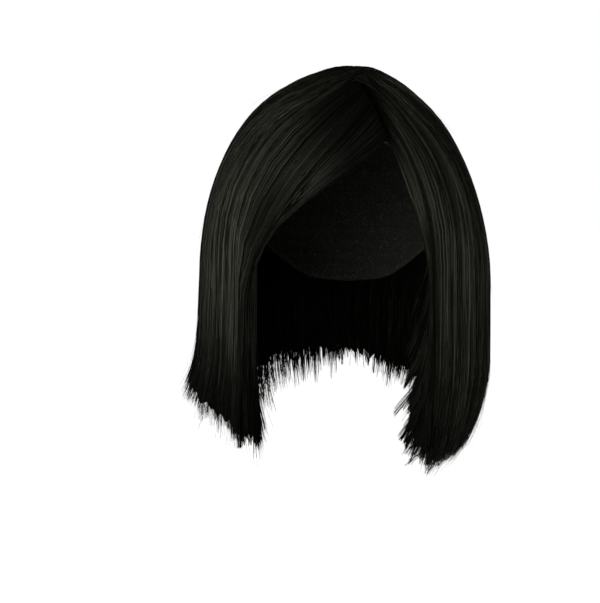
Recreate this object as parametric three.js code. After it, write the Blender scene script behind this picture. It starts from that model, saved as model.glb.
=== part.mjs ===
// A straight bob wig with a side parting: a thin net cap, six panels of hair that fall from the parting
// and the crown, and a shorter under layer at the nape. Millimetres, +Z up, the wearer faces -Y.
// The origin is the inside of the cap's crown, where the top of a head sits.
import * as THREE from "three";

const { lerp, smoothstep, degToRad } = THREE.MathUtils;

// Driving dimensions. The hollow for the head is an ellipsoid whose top is the origin.
const HEAD = { halfWidth: 76, halfDepth: 95, height: 100 };
const CAP_WALL = 1.5;
const SEAT_GAP = 1;
const PANEL_GAP = 0.6;
const MOST_DRAW_BACK = 0.6;

// The whorl at the back end of the parting is the top of the hair. The parting runs from it to the hairline.
const WHORL = new THREE.Vector3(9, -2, 12);
const PARTING_AZIMUTH = { right: 19.8, left: 21.2 };

// The outer form of the hair towards each side: how far it reaches from the axis, how far its widest level
// lies below the top, and the power of the superellipse between the two.
const OUTER_FORM = {
  front: { reach: 106, drop: 120, power: 2 },
  right: { reach: 104, drop: 154, power: 2.12 },
  left: { reach: 105, drop: 154, power: 1.84 },
  back: { reach: 116, drop: 132, power: 2.1 },
};

// How far the hanging hair stands out from that form at each depth below the origin, towards each side.
const HANG_SECTIONS = [
  { depth: 140, front: 0, right: 0, left: 0, back: 0 },
  { depth: 185, front: 0, right: 2, left: 0, back: -3 },
  { depth: 205, front: -1, right: 5, left: 0, back: -7 },
  { depth: 225, front: -2, right: 12, left: -3, back: -12 },
  { depth: 255, front: -3, right: 16, left: -12, back: -18 },
  { depth: 285, front: -4, right: 18, left: -42, back: -22 },
];

// The inner surface hangs straight down to the first of these depths. From the second it bends with the
// outer one.
const INNER_BEND = { from: 236, to: 262 };

// Guide strands from the face round to the middle of the back. Azimuth 0 is the front, and positive is the
// wearer's left. root is the share of the way from the whorl to the outline where the strand leaves the scalp,
// turn the share of its length after which it hangs straight, ease how early most of the turning is done, and
// tip the level that it ends at.
const RIGHT_GUIDES = [
  { root: 0.863, rootAzimuth: PARTING_AZIMUTH.right, hangAzimuth: -33.5, turn: 0.32, ease: 0.95, tip: -252 },
  { root: 0.51, rootAzimuth: PARTING_AZIMUTH.right, hangAzimuth: -40.5, turn: 0.52, ease: 1.1, tip: -248 },
  { root: 0.34, rootAzimuth: PARTING_AZIMUTH.right, hangAzimuth: -43, turn: 0.55, ease: 2.2, tip: -243 },
  { root: 0.06, rootAzimuth: PARTING_AZIMUTH.right, hangAzimuth: -98, turn: 0.4, ease: 2, tip: -214 },
  { root: 0.04, rootAzimuth: -80, hangAzimuth: -142, turn: 0.26, ease: 1.5, tip: -208 },
  { root: 0.04, rootAzimuth: -180, hangAzimuth: -180, turn: 0.26, ease: 1.5, tip: -206 },
];
const LEFT_GUIDES = [
  { root: 0.863, rootAzimuth: PARTING_AZIMUTH.left, hangAzimuth: 35.5, turn: 0.5, ease: 2.6, tip: -254 },
  { root: 0.6, rootAzimuth: PARTING_AZIMUTH.left, hangAzimuth: 39, turn: 0.5, ease: 2.6, tip: -257 },
  { root: 0.4, rootAzimuth: PARTING_AZIMUTH.left, hangAzimuth: 46, turn: 0.45, ease: 2.4, tip: -263 },
  { root: 0.06, rootAzimuth: PARTING_AZIMUTH.left, hangAzimuth: 98, turn: 0.4, ease: 2, tip: -258 },
  { root: 0.04, rootAzimuth: 95, hangAzimuth: 142, turn: 0.26, ease: 1.5, tip: -226 },
  { root: 0.04, rootAzimuth: 180, hangAzimuth: 180, turn: 0.26, ease: 1.5, tip: -206 },
];

// How gradually the turning ends, as a share of the turn before and after its end.
const TURN_SOFTNESS = 0.18;

// The panels, each between two places among the guides, with its number of locks. Locks are the rounded ribs of
// a panel, parted by grooves, each with a free tip of its own.
const PANELS = [
  { name: "fringe", guides: RIGHT_GUIDES, from: 0, to: 2, locks: 5 },
  { name: "right_side", guides: RIGHT_GUIDES, from: 2, to: 3.4, locks: 8 },
  { name: "right_back", guides: RIGHT_GUIDES, from: 3.4, to: 5, locks: 8 },
  { name: "left_front", guides: LEFT_GUIDES, from: 0, to: 2, locks: 5 },
  { name: "left_side", guides: LEFT_GUIDES, from: 2, to: 3.4, locks: 8 },
  { name: "left_back", guides: LEFT_GUIDES, from: 3.4, to: 5, locks: 8 },
];
const LOCK_COLUMNS = [
  { across: 0, groove: 1 },
  { across: 0.28, groove: 0.12 },
  { across: 0.72, groove: 0.12 },
];
const GROOVE = { atRoot: 0.6, atTip: 3.4, mostShare: 0.6, mostWidths: 0.6 };
const TIP_NOTCH = 15;
const TIP_STAGGER = 4;
const STAGGER_TURN = { fast: 12.9898, slow: 4.1414 };
const ROWS = 16;
const ROW_CROWDING = 1.3;

// Thickness: pressed flat along the parting, feathered towards the tips and towards the face.
const PARTING_PRESS = 0.4;
const PARTING_RISE = 0.1;
const TIP_FEATHER = { most: 0.62, from: 0.7 };
const FACE_FEATHER = { most: 0.7, span: 2.2, from: 0.1, to: 0.4 };

// The cap's rim: hairline in front, a tab before each ear, and down to the nape.
const CAP_RIM = [
  { azimuth: 0, level: -38 },
  { azimuth: 15, level: -40 },
  { azimuth: 40, level: -58 },
  { azimuth: 72, level: -104 },
  { azimuth: 98, level: -90 },
  { azimuth: 130, level: -122 },
  { azimuth: 160, level: -144 },
  { azimuth: 180, level: -146 },
];
const CAP_COLUMNS = 40;
const CAP_ROWS = 9;

// The nape layer fills the space between the cap's back rim and the back panels, and hangs below both.
// innerReach is how far its inner surface stays out below the cap, as a share of the seat over the cap.
const NAPE = { from: 104, to: 256, rootLevel: -124, middleTip: -206, endTip: -236, locks: 10, rows: 7 };
const NAPE_WALL = { capGap: 0.6, panelGap: 1, innerReach: 0.84, featherFrom: 0.6, mostFeather: 0.45 };

const HAIR_LOOK = { color: 0x15130f, roughness: 0.45, metalness: 0 };
const CAP_LOOK = { color: 0x1c1a18, roughness: 0.8, metalness: 0 };

// A smooth curve through one column of a table, read at a value of its key column. It never overshoots a row.
function readTable(rows, key, at, column) {
  const last = rows.length - 1;
  const place = THREE.MathUtils.clamp(at, rows[0][key], rows[last][key]);
  const start = Math.max(0, rows.findLastIndex((row, i) => i < last && row[key] <= place));
  const step = (i) => (rows[i + 1][column] - rows[i][column]) / (rows[i + 1][key] - rows[i][key]);
  const slope = (i) => {
    const before = step(Math.max(i - 1, 0));
    const after = step(Math.min(i, last - 1));
    return before * after > 0 ? (2 * before * after) / (before + after) : 0;
  };
  const span = rows[start + 1][key] - rows[start][key];
  const t = (place - rows[start][key]) / span;
  const rise = 3 * t * t - 2 * t * t * t;
  const leave = t * (1 - t) * (1 - t);
  const arrive = t * t * (t - 1);
  return (
    lerp(rows[start][column], rows[start + 1][column], rise) +
    span * (leave * slope(start) + arrive * slope(start + 1))
  );
}

// The guide strand at a place among the guides, such as 1.5 between the second and the third.
function guideAt(guides, place) {
  const rows = guides.map((guide, index) => ({ ...guide, index }));
  const read = (column) => readTable(rows, "index", place, column);
  return {
    root: read("root"),
    rootAzimuth: read("rootAzimuth"),
    hangAzimuth: read("hangAzimuth"),
    turn: read("turn"),
    ease: read("ease"),
    tip: read("tip"),
  };
}

// A value that is known towards each side, blended for a direction.
function towards(azimuth, valueAt) {
  const ahead = Math.cos(azimuth);
  const aside = Math.sin(azimuth);
  const facing = ahead > 0 ? "front" : "back";
  const beside = aside > 0 ? "left" : "right";
  return valueAt(facing) * ahead * ahead + valueAt(beside) * aside * aside;
}

function formTowards(azimuth, column) {
  return towards(azimuth, (side) => OUTER_FORM[side][column]);
}

// The outer form of the hair, before the hanging part is moved out or in. sweep runs from 0 at the whorl to a
// right angle at the widest level, and fall from 0 there to 1 at the tip.
function outerPoint(azimuth, sweep, fall, tip) {
  const power = 2 / formTowards(azimuth, "power");
  const share = Math.sin(sweep) ** power;
  const height = Math.max(0, Math.cos(sweep)) ** power;
  const halfWidth = Math.sin(azimuth) > 0 ? OUTER_FORM.left.reach : OUTER_FORM.right.reach;
  const halfDepth = Math.cos(azimuth) > 0 ? OUTER_FORM.front.reach : OUTER_FORM.back.reach;
  return new THREE.Vector3(
    lerp(WHORL.x, halfWidth * Math.sin(azimuth), share),
    lerp(WHORL.y, -halfDepth * Math.cos(azimuth), share),
    lerp(WHORL.z - formTowards(azimuth, "drop") * (1 - height), tip, fall),
  );
}

// How far the hanging hair is moved out or in at a level, towards a side.
function hangShift(azimuth, level) {
  const stand = towards(azimuth, (side) => readTable(HANG_SECTIONS, "depth", -level, side));
  return new THREE.Vector3(stand * Math.sin(azimuth), -stand * Math.cos(azimuth), 0);
}

// The half sizes of the ellipsoid that the hair is seated on, just over the cap.
function seatSize() {
  return new THREE.Vector3(HEAD.halfWidth, HEAD.halfDepth, HEAD.height).addScalar(CAP_WALL + SEAT_GAP);
}

// The point of the inner surface under a point of the outer one. Above the head's widest level it is drawn to
// the seat over the cap, towards the head's middle, and below it the inner surface hangs straight.
function innerPoint(point) {
  const seat = seatSize();
  const seated = new THREE.Vector3(point.x, point.y, Math.max(0, point.z + HEAD.height)).divide(seat);
  seated.normalize().multiply(seat);
  seated.z += Math.min(point.z, -HEAD.height);
  return seated;
}

// A share that levels off at 1 over a soft bend.
function softLimit(share) {
  const into = THREE.MathUtils.clamp((share - 1 + TURN_SOFTNESS) / (2 * TURN_SOFTNESS), 0, 1);
  return Math.min(share, 1 - TURN_SOFTNESS) + TURN_SOFTNESS * into * (2 - into);
}

// One strand of a panel as two points, outer and inner, at a share of the strand's length. It follows its guide
// and ends at a tip level of its own.
function strandPair(guide, along, faceward, tip) {
  const rootSweep = Math.asin(guide.root);
  const hang = degToRad(guide.hangAzimuth);
  const domeDrop = formTowards(hang, "drop");
  const domeRadius = (domeDrop + formTowards(hang, "reach")) / 2;
  const domeLength = (Math.PI / 2 - rootSweep) * domeRadius;
  const hangLength = WHORL.z - domeDrop - guide.tip;
  const domeShare = domeLength / (domeLength + hangLength);

  const turned = 1 - (1 - softLimit(along / guide.turn)) ** guide.ease;
  const azimuth = degToRad(lerp(guide.rootAzimuth, guide.hangAzimuth, turned));
  const sweep = lerp(rootSweep, Math.PI / 2, Math.min(1, along / domeShare));
  const fall = Math.max(0, (along - domeShare) / (1 - domeShare));
  const straight = outerPoint(azimuth, sweep, fall, tip);
  const shift = hangShift(azimuth, straight.z);
  const full = straight.clone().add(shift);
  const seat = innerPoint(full).lerp(
    innerPoint(straight).add(shift),
    smoothstep(-straight.z, INNER_BEND.from, INNER_BEND.to),
  );

  const tipFeather = TIP_FEATHER.most * smoothstep(along, TIP_FEATHER.from, 1);
  const nearFace = 1 - smoothstep(faceward, 0, FACE_FEATHER.span);
  const faceFeather = FACE_FEATHER.most * nearFace * smoothstep(along, FACE_FEATHER.from, FACE_FEATHER.to);
  const inner = seat.lerp(full, 1 - (1 - tipFeather) * (1 - faceFeather));
  const rise = lerp(PARTING_PRESS, 1, smoothstep(along, 0, PARTING_RISE));
  return { outer: inner.clone().lerp(full, rise), inner };
}

// A repeatable, uneven spread of values from -1 to 1 over the locks.
function stagger(lock) {
  return Math.sin(lock * STAGGER_TURN.fast) * Math.cos(lock * STAGGER_TURN.slow);
}

// The columns of a row of locks: where each lies from 0 to 1, how deep its groove is, and which lock it is in.
function lockColumns(locks) {
  const columns = [];
  for (let lock = 0; lock < locks; lock += 1) {
    for (const column of LOCK_COLUMNS) {
      columns.push({ place: (lock + column.across) / locks, groove: column.groove, lock });
    }
  }
  columns.push({ place: 1, groove: 1, lock: locks - 1 });
  return columns;
}

// A closed wall between two surfaces, from a list of columns that each hold a row of outer and of inner points.
function wallGeometry(grid) {
  const columns = grid.length;
  const rows = grid[0].outer.length;
  const points = [...grid.flatMap((column) => column.outer), ...grid.flatMap((column) => column.inner)];
  const outerIndex = (i, j) => i * rows + j;
  const innerIndex = (i, j) => columns * rows + i * rows + j;
  const index = [];
  const quad = (a, b, c, d) => index.push(a, b, c, a, c, d);
  for (let i = 0; i + 1 < columns; i += 1) {
    for (let j = 0; j + 1 < rows; j += 1) {
      quad(outerIndex(i, j), outerIndex(i, j + 1), outerIndex(i + 1, j + 1), outerIndex(i + 1, j));
      quad(innerIndex(i, j), innerIndex(i + 1, j), innerIndex(i + 1, j + 1), innerIndex(i, j + 1));
    }
    quad(outerIndex(i, 0), outerIndex(i + 1, 0), innerIndex(i + 1, 0), innerIndex(i, 0));
    const tip = rows - 1;
    quad(outerIndex(i, tip), innerIndex(i, tip), innerIndex(i + 1, tip), outerIndex(i + 1, tip));
  }
  for (let j = 0; j + 1 < rows; j += 1) {
    const end = columns - 1;
    quad(outerIndex(0, j), innerIndex(0, j), innerIndex(0, j + 1), outerIndex(0, j + 1));
    quad(outerIndex(end, j), outerIndex(end, j + 1), innerIndex(end, j + 1), innerIndex(end, j));
  }
  return closedGeometry(points, index);
}

// A geometry whose faces point out, whichever way round its triangles were listed.
function closedGeometry(points, index) {
  let volume = 0;
  for (let i = 0; i < index.length; i += 3) {
    const [a, b, c] = [points[index[i]], points[index[i + 1]], points[index[i + 2]]];
    volume += a.dot(new THREE.Vector3().crossVectors(b, c));
  }
  if (volume < 0) {
    index.reverse();
  }
  const geometry = new THREE.BufferGeometry().setFromPoints(points);
  geometry.setIndex(index);
  geometry.computeVertexNormals();
  return geometry;
}

// The share of a strand's length at a row. Rows are closer together near the root.
function rowAlong(row) {
  return (row / ROWS) ** ROW_CROWDING;
}

// The way from a point of a column to the next column, square to the column's own run.
function sideways(column, neighbour, j) {
  const run = column[Math.min(j + 1, column.length - 1)].clone().sub(column[Math.max(j - 1, 0)]).normalize();
  const way = neighbour[j].clone().sub(column[j]);
  return way.addScaledVector(run, -way.dot(run));
}

// The edge column of a panel, drawn back by half the panel gap, or less where the next column is close.
function drawBack(column, neighbour) {
  return column.map((point, j) => {
    const way = sideways(column, neighbour, j);
    const distance = Math.min(PANEL_GAP / 2, way.length() * MOST_DRAW_BACK);
    return point.clone().addScaledVector(way.normalize(), distance);
  });
}

// The outer points of a column with its groove pressed in, less deep where the locks are narrow.
function pressGroove(column, neighbour, groove) {
  return column.outer.map((point, j) => {
    const inner = column.inner[j];
    const width = sideways(column.outer, neighbour.outer, j).length();
    const depth = groove * lerp(GROOVE.atRoot, GROOVE.atTip, rowAlong(j));
    const pressed = Math.min(depth, GROOVE.mostWidths * width) / point.distanceTo(inner);
    return point.clone().lerp(inner, Math.min(GROOVE.mostShare, pressed));
  });
}

// One panel of locks between a guide strand and the next, seated on the cap.
function hairPanel({ name, guides, from, to, locks }) {
  const columns = lockColumns(locks);
  const smooth = columns.map(({ place, groove, lock }) => {
    const among = lerp(from, to, place);
    const guide = guideAt(guides, among);
    const uneven = TIP_STAGGER * stagger(lock + from * locks + guides[0].hangAzimuth);
    const tip = guide.tip + TIP_NOTCH * groove + uneven * (1 - groove);
    const pairs = [];
    for (let row = 0; row <= ROWS; row += 1) {
      pairs.push(strandPair(guide, rowAlong(row), among, tip));
    }
    return { outer: pairs.map((pair) => pair.outer), inner: pairs.map((pair) => pair.inner) };
  });
  const last = columns.length - 1;
  const grid = smooth.map((column, i) => {
    const neighbour = smooth[i < last ? i + 1 : i - 1];
    return { outer: pressGroove(column, neighbour, columns[i].groove), inner: column.inner };
  });
  for (const surface of ["outer", "inner"]) {
    grid[0][surface] = drawBack(grid[0][surface], grid[1][surface]);
    grid[last][surface] = drawBack(grid[last][surface], grid[last - 1][surface]);
  }
  return namedMesh(name, wallGeometry(grid), HAIR_LOOK);
}

// The under layer at the nape: locks that start between the cap and the back panels.
function napeLayer() {
  const middle = (NAPE.from + NAPE.to) / 2;
  const seat = seatSize();
  const grid = lockColumns(NAPE.locks).map(({ place, groove, lock }) => {
    const degrees = lerp(NAPE.from, NAPE.to, place);
    const way = new THREE.Vector2(Math.sin(degToRad(degrees)), -Math.cos(degToRad(degrees)));
    const aside = Math.abs(degrees - middle) / (NAPE.to - middle);
    const tip = lerp(NAPE.middleTip, NAPE.endTip, aside) + TIP_NOTCH * groove + TIP_STAGGER * stagger(lock);
    const column = { outer: [], inner: [] };
    for (let row = 0; row <= NAPE.rows; row += 1) {
      const along = row / NAPE.rows;
      const level = lerp(NAPE.rootLevel, tip, along);
      const below = (level + HEAD.height) / seat.z;
      const round = Math.max(NAPE_WALL.innerReach, Math.sqrt(Math.max(0, 1 - below * below)));
      const feather = NAPE_WALL.mostFeather * smoothstep(along, NAPE_WALL.featherFrom, 1);
      const innerReach = lerp(round, 1, feather) - NAPE_WALL.capGap / seat.y;
      const outerReach = 1 - (NAPE_WALL.panelGap + groove) / seat.y;
      column.outer.push(new THREE.Vector3(seat.x * way.x * outerReach, seat.y * way.y * outerReach, level));
      column.inner.push(new THREE.Vector3(seat.x * way.x * innerReach, seat.y * way.y * innerReach, level));
    }
    return column;
  });
  return namedMesh("nape", wallGeometry(grid), HAIR_LOOK);
}

// The cap: a thin ellipsoid wall from the crown to its rim, open below.
function netCap() {
  const surface = (clearance) => {
    const rings = [];
    for (let row = 1; row <= CAP_ROWS; row += 1) {
      const ring = [];
      for (let column = 0; column < CAP_COLUMNS; column += 1) {
        const degrees = (360 * column) / CAP_COLUMNS;
        const azimuth = degToRad(degrees);
        const rim = readTable(CAP_RIM, "azimuth", degrees > 180 ? 360 - degrees : degrees, "level");
        const rimSweep = Math.acos((HEAD.height + rim) / HEAD.height);
        const sweep = (rimSweep * row) / CAP_ROWS;
        const x = (HEAD.halfWidth + clearance) * Math.sin(sweep) * Math.sin(azimuth);
        const y = -(HEAD.halfDepth + clearance) * Math.sin(sweep) * Math.cos(azimuth);
        const z = (HEAD.height + clearance) * Math.cos(sweep) - HEAD.height;
        ring.push(new THREE.Vector3(x, y, z));
      }
      rings.push(ring);
    }
    return { crown: new THREE.Vector3(0, 0, clearance), rings };
  };
  const outside = surface(CAP_WALL);
  const inside = surface(0);
  const points = [outside.crown, inside.crown, ...outside.rings.flat(), ...inside.rings.flat()];
  const at = (side, row, column) => 2 + (side * CAP_ROWS + row) * CAP_COLUMNS + (column % CAP_COLUMNS);
  const index = [];
  const quad = (a, b, c, d) => index.push(a, b, c, a, c, d);
  for (let i = 0; i < CAP_COLUMNS; i += 1) {
    index.push(0, at(0, 0, i), at(0, 0, i + 1));
    index.push(1, at(1, 0, i + 1), at(1, 0, i));
    for (let row = 0; row + 1 < CAP_ROWS; row += 1) {
      quad(at(0, row, i), at(0, row + 1, i), at(0, row + 1, i + 1), at(0, row, i + 1));
      quad(at(1, row, i), at(1, row, i + 1), at(1, row + 1, i + 1), at(1, row + 1, i));
    }
    const rim = CAP_ROWS - 1;
    quad(at(0, rim, i), at(1, rim, i), at(1, rim, i + 1), at(0, rim, i + 1));
  }
  return namedMesh("cap", closedGeometry(points, index), CAP_LOOK);
}

function namedMesh(name, geometry, look) {
  const mesh = new THREE.Mesh(geometry, new THREE.MeshStandardMaterial(look));
  mesh.name = name;
  return mesh;
}

const wig = new THREE.Group();
wig.add(netCap(), ...PANELS.map(hairPanel), napeLayer());

export default wig;
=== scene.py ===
"""The looks of a straight, side-parted bob wig: strands on each panel's form, a net cap, stage, camera."""

import math
from collections import namedtuple

import bpy
import numpy as np
from mathutils import Matrix, Vector


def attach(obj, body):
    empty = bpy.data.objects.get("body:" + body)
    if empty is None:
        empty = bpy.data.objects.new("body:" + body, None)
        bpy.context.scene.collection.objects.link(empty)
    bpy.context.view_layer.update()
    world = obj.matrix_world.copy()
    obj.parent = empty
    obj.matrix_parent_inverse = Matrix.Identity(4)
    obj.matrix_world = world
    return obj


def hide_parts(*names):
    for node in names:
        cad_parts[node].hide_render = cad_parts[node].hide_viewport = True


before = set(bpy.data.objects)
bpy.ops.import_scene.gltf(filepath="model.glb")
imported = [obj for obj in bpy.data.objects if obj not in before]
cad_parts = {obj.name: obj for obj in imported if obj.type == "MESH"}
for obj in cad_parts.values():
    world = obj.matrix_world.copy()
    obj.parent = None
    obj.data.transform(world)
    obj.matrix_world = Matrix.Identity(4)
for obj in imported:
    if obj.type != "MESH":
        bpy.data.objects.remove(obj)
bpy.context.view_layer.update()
MM = 0.001

# A length and a share that count as nothing, so that no division is by zero.
NO_LENGTH = 1e-9
NO_SHARE = 1e-6

# Sizes of the wig in millimetres, in the frame of the solids. The hollow for the head is an ellipsoid.
HEAD = np.array([76.0, 95.0, 100.0])
CAP_WALL = 1.5
SEAT_GAP = 1.0
SEAT = HEAD + CAP_WALL + SEAT_GAP
WHORL = np.array([9.0, -2.0, 12.0])

# The outer form of the hair towards each side.
REACH = {"front": 106.0, "right": 104.0, "left": 105.0, "back": 116.0}
DROP = {"front": 120.0, "right": 154.0, "left": 154.0, "back": 132.0}
POWER = {"front": 2.0, "right": 2.12, "left": 1.84, "back": 2.1}

# How far the hanging hair stands out from that form, by depth below the crown.
HANG_DEPTH = [140, 185, 205, 225, 255, 285]
HANG_STAND = {
    "front": [0, 0, -1, -2, -3, -4],
    "right": [0, 2, 5, 12, 16, 18],
    "left": [0, 0, 0, -3, -12, -42],
    "back": [0, -3, -7, -12, -18, -22],
}

# The inner surface hangs straight to the first depth, and from the second it bends as the outer one does.
INNER_BEND = (236, 262)

# Guide strands from the face round to the middle of the back.
# Columns: root, root azimuth, hanging azimuth, turn, ease, tip level and how far the tip curls in.
RIGHT_GUIDES = [
    (0.81, 22, -33.5, 0.32, 0.66, -252, 6),
    (0.51, 15.2, -40.5, 0.52, 1.1, -248, 4),
    (0.34, 10.8, -43, 0.55, 2.2, -243, 2),
    (0.06, 11, -98, 0.4, 2, -214, -2),
    (0.03, -80, -142, 0.26, 1.5, -208, 3),
    (0.03, -180, -180.6, 0.26, 1.5, -206, 3),
]
LEFT_GUIDES = [
    (0.81, 23.5, 37.5, 0.5, 1.7, -254, 3),
    (0.6, 19.8, 40.5, 0.5, 2.6, -260, 3),
    (0.4, 15.2, 46, 0.45, 2.4, -269, 3),
    (0.06, 14, 98, 0.4, 2, -260, 3),
    (0.03, 95, 142, 0.26, 1.5, -226, 3),
    (0.03, 180, 180.6, 0.26, 1.5, -206, 3),
]

# Strands from the parting run along it for a little of their length before they turn away. This sets in
# between two places among the guides, and stops between two others.
ROOT_DELAY = 0.035
DELAY_SETS_IN = (0, 0.6)
DELAY_STOPS = (2.2, 3.2)

# How gradually a strand's turning ends, as a share of the turn before and after its end.
TURN_SOFTNESS = 0.18

# The panels. Columns: the guides, the places among them that the panel lies between, its locks and clumps,
# how many strands it has outside, inside and loose between, how much more the last two curl in, how much
# shorter their shortest tier is, how far down the painted shade at the roots reaches, and how much painted
# shade darkens the tips.
PANEL_COLUMNS = (
    "guides", "span", "locks", "clumps", "outer", "inner", "loose",
    "under_curl", "tiers", "root_shade_reach", "tip_painted_shade",
)
PANEL_ROWS = {
    "fringe": (RIGHT_GUIDES, (0, 2), 5, 34, 950, 200, 200, 2, 12, 0.4, 0.7),
    "right_side": (RIGHT_GUIDES, (2, 3.4), 8, 80, 1100, 220, 280, 0, 10, 0.14, 0.75),
    "right_back": (RIGHT_GUIDES, (3.4, 5), 8, 66, 840, 180, 220, 1, 12, 0.14, 0.5),
    "left_front": (LEFT_GUIDES, (0, 2), 5, 34, 950, 460, 560, 11, 50, 0.14, 0.05),
    "left_side": (LEFT_GUIDES, (2, 3.4), 8, 80, 1100, 240, 320, 12, 26, 0.14, 0),
    "left_back": (LEFT_GUIDES, (3.4, 5), 8, 66, 840, 180, 220, 3, 16, 0.14, 0.5),
}
PANELS = {name: dict(zip(PANEL_COLUMNS, row)) for name, row in PANEL_ROWS.items()}

# Tufts along the inner edge of the left front: the places they lie between, how many there are, their
# strands, how much they curl in, and how far up the edge they reach.
TUFTS = {"span": (0, 0.6), "clumps": 14, "strands": 520, "under_curl": 11, "tiers": 78}

# Strands on top of the panels that aren't beside the face, which keep the outline round.
TOP_STRANDS = 90

# Roots are pressed flat by a share of the thickness, and more along the parting's groove. The groove opens
# between two roots, where it is a pit, and loses most of its depth between two others towards the face.
# Behind the pit roots cross from side to side by some degrees. A share of each strand rises from its root.
CROWN_PRESS = 0.3
PARTING_PRESS = 0.6
GROOVE_OPENS = (0.2, 0.3)
GROOVE_FADES = (0.5, 0.85)
GROOVE_LOSS = 0.8
ROOTS_CROSS = 14.0
PARTING_RISE = 0.1

# How far the hair lies under its form on the crown, in millimetres, the shares of its length where that
# begins, is whole, fades and ends, and the places among the guides between which it sets in.
CROWN_SINK = 2.0
CROWN_SPAN = (0.02, 0.1, 0.17, 0.3)
CROWN_SETS_IN = (1.2, 2.2)

# Thickness of the panels: feathered towards the tips and the face, and rounded off at the edge beside the
# face, there by no more than a share of it.
TIP_FEATHER = (0.62, 0.7)
FACE_FEATHER = (0.7, 2.2, 0.1, 0.4)
FACE_ROUND = (6.0, 1.5, 0.12, 0.45)
MOST_ROUNDED = 0.75

# Tips curl in over their last millimetres, in front towards the other side of the face. They do so
# unevenly: by a share of the curl for a clump, and by millimetres for a strand.
CURL_LENGTH = 55.0
CURL_AHEAD = np.array([-1.0, -0.2, 0.0])
CURL_BEHIND = np.array([-1.0, -1.0, 0.0])
CURL_UNEVEN = {"clump": 0.35, "strand": 0.8}

# How unevenly tips end, in millimetres: by clump, by strand, how many times more for a share of them that
# are short, at the edges of locks, and the lowest that one ends.
TIP_UNEVEN = {"clump": 3.5, "strand": 3, "short_share": 0.1, "short_times": 4, "lock": 4, "lowest": -7.0}

# The dense hair under the strands: its columns and rows, its margin at the panel's edges and at the one
# beside the face, how much shorter it is, how much it thins out and from where, and how far it lies under
# the outer and over the inner surface: in millimetres, and at most as a share of the thickness.
BODY = {
    "columns": 61, "rows": 33, "margin": 0.004, "face_margin": 0.06, "shorter": (3, 9),
    "thinned": 0.75, "thins_from": 0.55, "under": (2.4, 0.4), "over": (0.8, 0.15),
}
# The dense hair's tone: near black and dull, painted shade for the hair deep under the strands.
BODY_SHADED_TONE = 0.02

# A strand: its half width in millimetres, the shares of it that strands have, how flat they are, and the
# directions of their three edges.
STRAND_HALF_WIDTH = 0.3
STRAND_WIDTHS = (0.75, 1.15)
STRAND_FLATNESS = 0.6
STRAND_EDGES = (90, 210, 330)

# The points along a strand from the front, one from the crown, one on top and a short one, how closely
# those of whole strands follow each other near the root, and from where the inner strands hang.
FRONT_POINTS = 14
CROWN_POINTS = 18
TOP_POINTS = 34
SHORT_POINTS = 9
FRONT_CROWDING = 1.45
CROWN_CROWDING = 1.1
HANGING_FROM = 0.3

# The share of its width that a strand loses at its tip, and from where: outside, and under others.
TIP_LOSS = (0.65, 0.45)
TIP_LOSS_FROM = (0.76, 0.86)

# Strands gather in clumps of uneven width: how far, on the outside and under others, how much more at the
# tips, and from where. The last clumps before a panel's edge hold their place, so that no seam opens.
CLUMP_UNEVEN = 0.4
GATHER = (0.45, 0.75)
GATHER_FROM = 0.45
TIP_GATHER = 0.2
TIP_GATHER_FROM = 0.88
HELD_CLUMPS = (0.6, 2)
PANEL_MARGIN = 0.002

# Clumps and wisps sway sideways and strands stray: how far in clump widths, the wave's radians along the
# length, and where it grows. The waves' speeds differ by a factor.
WISP_STRANDS = 2
CLUMP_SWAY = {"reach": 0.2, "radians": 9, "grows": (0.1, 0.4)}
WISP_SWAY = {"reach": 0.3, "radians": 14, "grows": (0.15, 0.5)}
STRAND_STRAY = {"reach": 0.25, "grows": (0.1, 1)}
WAVE_SPEEDS = (0.7, 1.3)

# Relief in millimetres: of clumps, of waves along them with their radians, and of grooves at the edges of
# clumps and locks. At the roots a share of it is left.
RELIEF = {"clump": 0.25, "wave": 0.22, "radians": 12, "clump_edge": 0.55, "lock_edge": 0.5, "at_root": 0.3}

# How unevenly roots dip into the groove: the radians of a wave across the panel, a strand's own dip at
# most, and the share of the length that dips.
ROOT_DIPS = 25.0
ROOT_DIP = 2
ROOT_DIP_LENGTH = 0.05

# How deep strands lie. Near the outside: the least, how much more at most and how rare that is, in
# millimetres. On top: in millimetres. Near the inside and anywhere: as shares of the thickness. Then the
# limits: how far one stands proud in millimetres, and how deep one lies as a share of the thickness.
OUTSIDE_DEPTH = (0.35, 2.2, 1.3)
TOP_DEPTH = (-0.2, 0.3)
INSIDE_DEPTH = (0.85, 0.97)
ANY_DEPTH = (0.1, 0.9)
MOST_PROUD = 0.4
MOST_DEEP = 0.97

# Fine hairs that leave the surface, anywhere and near the hem: how many, where they begin and their length
# as shares of the panel's, how far they drift aside and lift off and how late, how deep they begin, how
# much of their half width they lose, how unevenly those at the hem end and curl in, and their tone.
FLYAWAYS = {
    "count": 22, "begin": (0.08, 0.75), "length": (0.08, 0.24), "drift": 0.05, "drift_power": 1.5,
    "lift": (1, 6), "lift_power": 1.7, "sunk": 0.8, "half_width": 0.13, "lost": 0.6, "tone": 0.4,
}
HEM_WISPS = {
    "count": 50, "begin": (0.6, 0.85), "tips": (-9, 10), "curl": 2, "drift": 0.03, "drift_power": 2,
    "lift": (0, 4), "lift_power": 2, "sunk": 0.4, "half_width": 0.17, "lost": 0.5, "tone": 0.3,
}
FINE_HAIR_PLACES = (0.02, 0.98)

# Strands through the edge beside the face: how many, their places across the panel, their sway and its
# radians, the mean and spread of their tips and of their curl, their depths and widths as shares, and how
# much painted shade darkens their roots.
FACE_EDGE = {
    "count": 150, "places": (0, 0.05), "sway": 0.01, "radians": 5, "tips": (4, 7), "curl": (1, 0.4),
    "depths": (0.05, 0.95), "widths": (0.7, 1.1), "root_shade": 0.6,
}

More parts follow.
